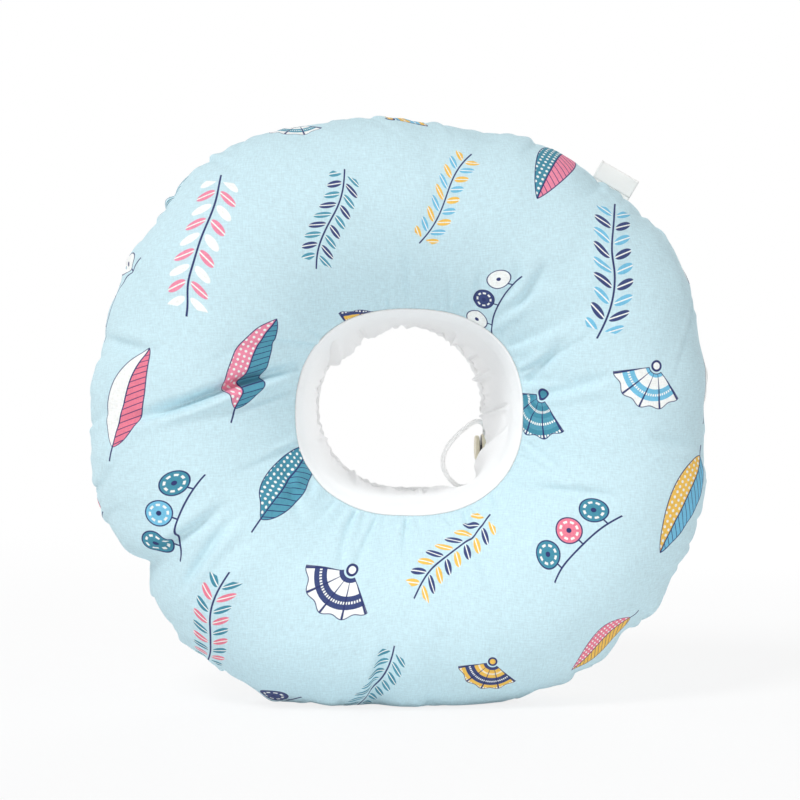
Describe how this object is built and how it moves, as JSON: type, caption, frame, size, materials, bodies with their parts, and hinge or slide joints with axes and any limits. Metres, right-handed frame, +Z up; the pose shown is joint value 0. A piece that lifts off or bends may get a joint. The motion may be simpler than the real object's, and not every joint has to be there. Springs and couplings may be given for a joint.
{
  "type": "stuffed ring recovery collar",
  "caption": "Soft stuffed cotton ring collar that stands on its flattened edge, with a drawcord neck sleeve, round cord lock and bare rim label.",
  "frame": {"origin": "middle of the flat that the ring stands on, straight below the neck opening's axis and in the ring's mid-plane", "axes": "+X across the ring, +Y along the neck opening's axis from the printed front face to the drawn sleeve, +Z up"},
  "size_m": [0.3596, 0.1466, 0.3398],
  "materials": {
    "printed_cotton": "pale aqua plain-weave cotton with a multicolour print",
    "white_cotton": "matt off-white cotton",
    "fibre_fill": "loose white polyester fibre",
    "elastic_cord": "braided cream elastic cord",
    "lock_plastic": "moulded cream plastic, satin",
    "spring_steel": "bright drawn wire",
    "aqua_thread": "spun polyester thread",
    "white_thread": "spun polyester thread",
    "label_tape": "woven satin tape, bare"
  },
  "bodies": {
    "collar": {"front_panel": "printed_cotton", "rear_panel": "printed_cotton", "filling": "fibre_fill", "neck_sleeve": "white_cotton", "sleeve_hem": "white_cotton", "drawcord": "elastic_cord", "drawcord_tail": "elastic_cord", "rim_thread": "aqua_thread", "closing_stitches": "aqua_thread", "front_neck_thread": "white_thread", "rear_neck_thread": "white_thread", "hem_thread": "white_thread", "sleeve_seam_thread": "white_thread", "mouth_bartacks": "white_thread"},
    "cord_lock": {"lock_body": "lock_plastic", "lock_spring": "spring_steel"},
    "button": {"lock_button": "lock_plastic"},
    "rim_label": {"label": "label_tape"}
  },
  "joints": [
    {"name": "cord_lock_slide", "type": "slide", "parent": "collar", "child": "cord_lock", "axis": [0, 0, -1], "range_m": [0, 0.005]},
    {"name": "button_press", "type": "slide", "parent": "cord_lock", "child": "button", "axis": [1, 0, 0], "range_m": [0, 0.001], "stiffness_N_per_m": 1500, "springref_m": -0.002, "deforming": ["lock_spring"]},
    {"name": "label_flap", "type": "hinge", "parent": "collar", "child": "rim_label", "pos_m": [0.11938, 0.00418, 0.30075], "axis": [-0.8637, 0, 0.504], "range_deg": [-50, 50], "stiffness_Nm_per_rad": 0.002}
  ]
}
